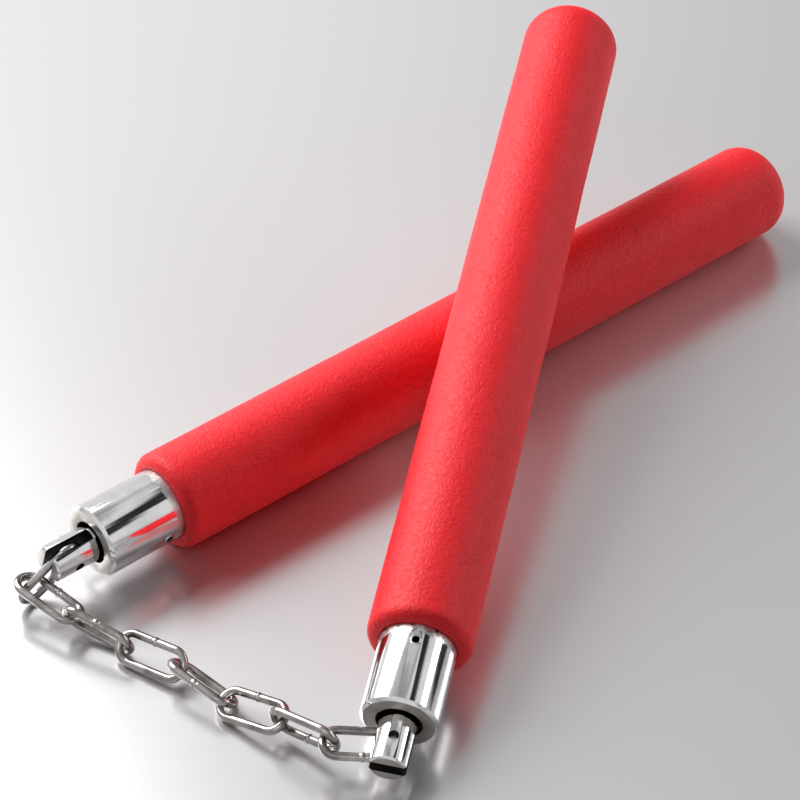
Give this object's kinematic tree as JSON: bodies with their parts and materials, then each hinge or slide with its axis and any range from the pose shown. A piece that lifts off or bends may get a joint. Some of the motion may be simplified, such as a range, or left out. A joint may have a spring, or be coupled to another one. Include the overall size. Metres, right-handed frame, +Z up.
{
  "type": "foam training sticks",
  "caption": "Pair of foam-padded training sticks with plated ferrules, joined by ball-bearing swivels and a short chain of welded oval links.",
  "frame": {"origin": "middle of the underside of the pair's bounding box, on the floor it lies on", "axes": "+X along stick A from its ferrule towards its free end, +Z up, +Y to the left of stick A"},
  "size_m": [0.319, 0.1954, 0.0827],
  "materials": {
    "foam": "satin",
    "core": "matte",
    "ferrule_plating": "gloss",
    "stem_steel": "gloss",
    "chain_steel": "satin",
    "pin_steel": "satin",
    "bearing_steel": "polished",
    "cage": "satin",
    "spring_steel": "satin"
  },
  "bodies": {
    "stick_a": {"foam_sleeve_a": "foam", "core_tube_a": "core", "end_plug_a": "core", "ferrule_a": "ferrule_plating", "ferrule_pin_a": "pin_steel", "bearing_outer_a": "bearing_steel", "bearing_balls_a": "bearing_steel", "bearing_cage_a": "cage", "bearing_clip_a": "spring_steel"},
    "swivel_a": {"swivel_stem_a": "stem_steel", "clevis_pin_a": "pin_steel", "bearing_inner_a": "bearing_steel", "stem_washer_a": "pin_steel", "stem_nut_a": "pin_steel"},
    "chain_1": {"link_1": "chain_steel"},
    "chain_2": {"link_2": "chain_steel"},
    "chain_3": {"link_3": "chain_steel"},
    "chain_4": {"link_4": "chain_steel"},
    "chain_5": {"link_5": "chain_steel"},
    "chain_6": {"link_6": "chain_steel"},
    "chain_7": {"link_7": "chain_steel"},
    "chain_8": {"link_8": "chain_steel"},
    "swivel_b": {"swivel_stem_b": "stem_steel", "clevis_pin_b": "pin_steel", "bearing_inner_b": "bearing_steel", "stem_washer_b": "pin_steel", "stem_nut_b": "pin_steel"},
    "stick_b": {"foam_sleeve_b": "foam", "core_tube_b": "core", "end_plug_b": "core", "ferrule_b": "ferrule_plating", "ferrule_pin_b": "pin_steel", "bearing_outer_b": "bearing_steel", "bearing_balls_b": "bearing_steel", "bearing_cage_b": "cage", "bearing_clip_b": "spring_steel"}
  },
  "joints": [
    {"name": "swivel_a_spin", "type": "hinge", "parent": "stick_a", "child": "swivel_a", "pos_m": [-0.13251, 0.03242, 0.016], "axis": [1, 0, 0], "continuous": true},
    {"name": "link_1_on_pin", "type": "hinge", "parent": "swivel_a", "child": "chain_1", "pos_m": [-0.14051, 0.03242, 0.016], "axis": [0, 0.9511, 0.309], "range_deg": [-50, 0]},
    {"name": "link_2_on_link_1", "type": "hinge", "parent": "chain_1", "child": "chain_2", "pos_m": [-0.15401, 0.03434, 0.01007], "axis": [0.2284, -0.098, 0.9686], "range_deg": [-85, 0]},
    {"name": "link_3_on_link_2", "type": "hinge", "parent": "chain_2", "child": "chain_3", "pos_m": [-0.15067, 0.01542, 0.00737], "axis": [-0.9115, -0.2544, -0.3231], "range_deg": [0, 85]},
    {"name": "link_4_on_link_3", "type": "hinge", "parent": "chain_3", "child": "chain_4", "pos_m": [-0.14472, -0.00289, 0.00501], "axis": [0.7209, 0.1838, -0.6682], "range_deg": [0, 85]},
    {"name": "link_5_on_link_4", "type": "hinge", "parent": "chain_4", "child": "chain_5", "pos_m": [-0.13906, -0.02142, 0.00602], "axis": [-0.6075, -0.0117, -0.7943], "range_deg": [0, 75]},
    {"name": "link_6_on_link_5", "type": "hinge", "parent": "chain_5", "child": "chain_6", "pos_m": [-0.13604, -0.04047, 0.004], "axis": [0.4971, -0.0412, -0.8667], "range_deg": [0, 85]},
    {"name": "link_7_on_link_6", "type": "hinge", "parent": "chain_6", "child": "chain_7", "pos_m": [-0.13111, -0.05887, 0.0077], "axis": [-0.9445, -0.2252, -0.2393], "range_deg": [-75, 0]},
    {"name": "link_8_on_link_7", "type": "hinge", "parent": "chain_7", "child": "chain_8", "pos_m": [-0.12735, -0.07768, 0.01057], "axis": [0.1038, 0.1878, -0.9767], "range_deg": [0, 70]},
    {"name": "swivel_b_on_link_8", "type": "hinge", "parent": "chain_8", "child": "swivel_b", "pos_m": [-0.1152, -0.08866, 0.00975], "axis": [-0.1038, -0.1878, 0.9767], "range_deg": [-85, 0]},
    {"name": "stick_b_spin", "type": "hinge", "parent": "swivel_b", "child": "stick_b", "pos_m": [-0.10894, -0.08393, 0.01132], "axis": [0.782, 0.5914, 0.1968], "continuous": true}
  ]
}
